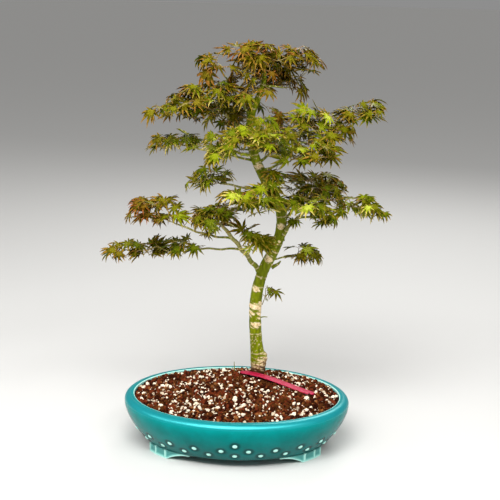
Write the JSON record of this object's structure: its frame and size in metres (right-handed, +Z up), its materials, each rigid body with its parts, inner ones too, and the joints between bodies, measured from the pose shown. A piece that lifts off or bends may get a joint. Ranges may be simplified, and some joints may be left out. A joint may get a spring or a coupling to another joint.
{
  "type": "potted bonsai japanese maple",
  "caption": "Small trained maple with a curved green trunk and layered masses of lobed leaves, planted in soil in an oval glazed pot on feet, with a blank plant label.",
  "frame": {"origin": "on the ground under the middle of the oval pot", "axes": "+X along the pot's length to the right of its front, +Y from the pot's front to its back, +Z up"},
  "size_m": [0.381, 0.236, 0.537],
  "materials": {
    "glaze": "glossy turquoise glaze, darker where it pools",
    "soil": "loose red-brown bark and lava granules with cream pumice",
    "bark": "smooth olive-green bark with pale rings and scars",
    "leaves": "thin palm-lobed leaves, lime green with rust and bronze tips",
    "label": "raspberry-pink plastic strip, blank"
  },
  "bodies": {
    "root": {"bough_low_back": "bark", "bough_low_front": "bark", "bough_low_left": "bark", "bough_low_left_reach": "bark", "bough_low_left_under": "bark", "bough_low_right": "bark", "bough_low_right_reach": "bark", "bough_low_right_shoot": "bark", "bough_middle_front": "bark", "bough_middle_left": "bark", "bough_middle_right": "bark", "bough_middle_right_back": "bark", "bough_top_left": "bark", "bough_top_right": "bark", "bough_upper_back": "bark", "bough_upper_front": "bark", "bough_upper_left": "bark", "bough_upper_left_front": "bark", "bough_upper_left_low": "bark", "bough_upper_right": "bark", "bough_upper_right_back": "bark", "bough_upper_right_low": "bark", "bough_upper_right_reach": "bark", "foot_back_left": "glaze", "foot_back_right": "glaze", "foot_front_left": "glaze", "foot_front_right": "glaze", "leaves_centre_front": "leaves", "leaves_centre_left": "leaves", "leaves_centre_low": "leaves", "leaves_crown_back": "leaves", "leaves_crown_left": "leaves", "leaves_crown_right": "leaves", "leaves_crown_right_low": "leaves", "leaves_crown_top": "leaves", "leaves_far_right": "leaves", "leaves_far_right_low": "leaves", "leaves_front_low": "leaves", "leaves_left": "leaves", "leaves_left_back": "leaves", "leaves_left_inner": "leaves", "leaves_left_low": "leaves", "leaves_left_low_tip": "leaves", "leaves_middle_left": "leaves", "leaves_middle_right": "leaves", "leaves_middle_right_low": "leaves", "leaves_right_back": "leaves", "leaves_right_front": "leaves", "leaves_right_inner": "leaves", "leaves_right_low": "leaves", "leaves_right_small": "leaves", "leaves_small_left": "leaves", "leaves_upper_left": "leaves", "leaves_upper_left_back": "leaves", "leaves_upper_left_tip": "leaves", "leaves_upper_right_back": "leaves", "plant_label": "label", "pot_body": "glaze", "soil": "soil", "trunk": "bark"}
  },
  "joints": []
}
